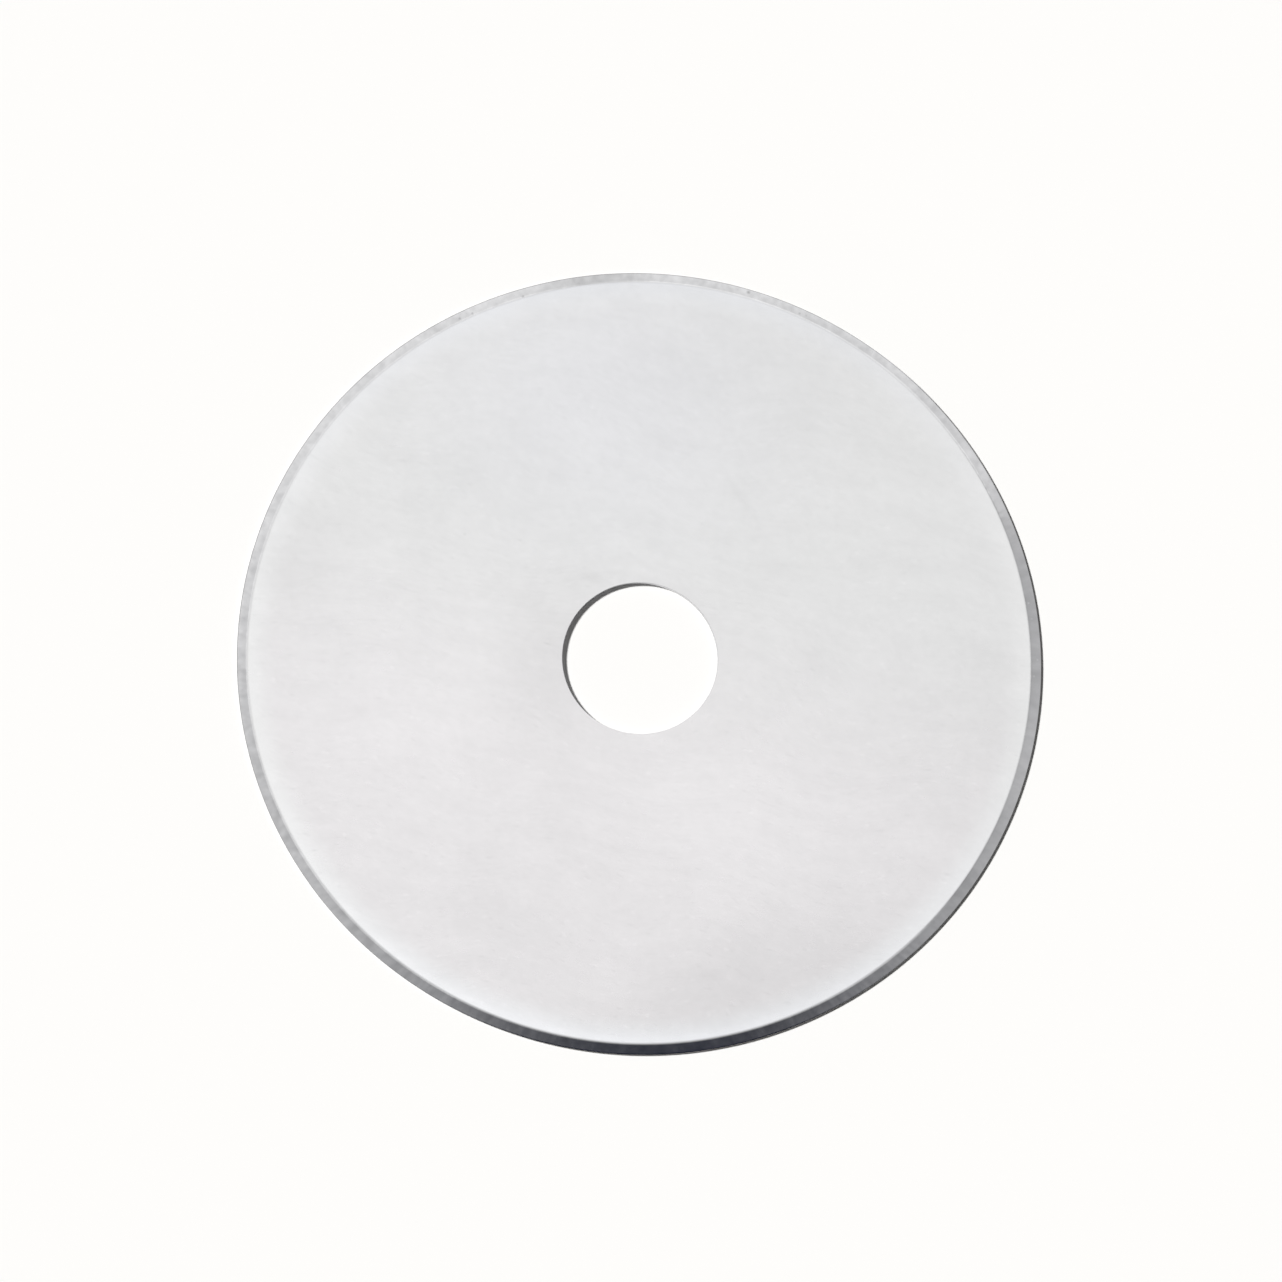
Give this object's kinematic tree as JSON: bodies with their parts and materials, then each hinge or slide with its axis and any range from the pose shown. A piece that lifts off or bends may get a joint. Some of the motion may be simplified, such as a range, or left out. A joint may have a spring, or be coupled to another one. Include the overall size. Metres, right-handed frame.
{
  "type": "rotary cutter blade",
  "caption": "Thin round steel blade with a plain centre bore, ground from both faces to a keen edge all round the rim.",
  "frame": {"origin": "centre of the bore on the under face, which the blade lies on", "axes": "+Z along the bore's axis, up out of the upper face; the blade looks the same from any side, so X and Y are free"},
  "size_m": [0.045, 0.045, 0.0003],
  "materials": {
    "tool_steel": "surface-ground satin faces with short straight grinding marks, and a brighter wheel-ground bevel"
  },
  "bodies": {
    "root": {"rotary_blade": "tool_steel"}
  },
  "joints": []
}
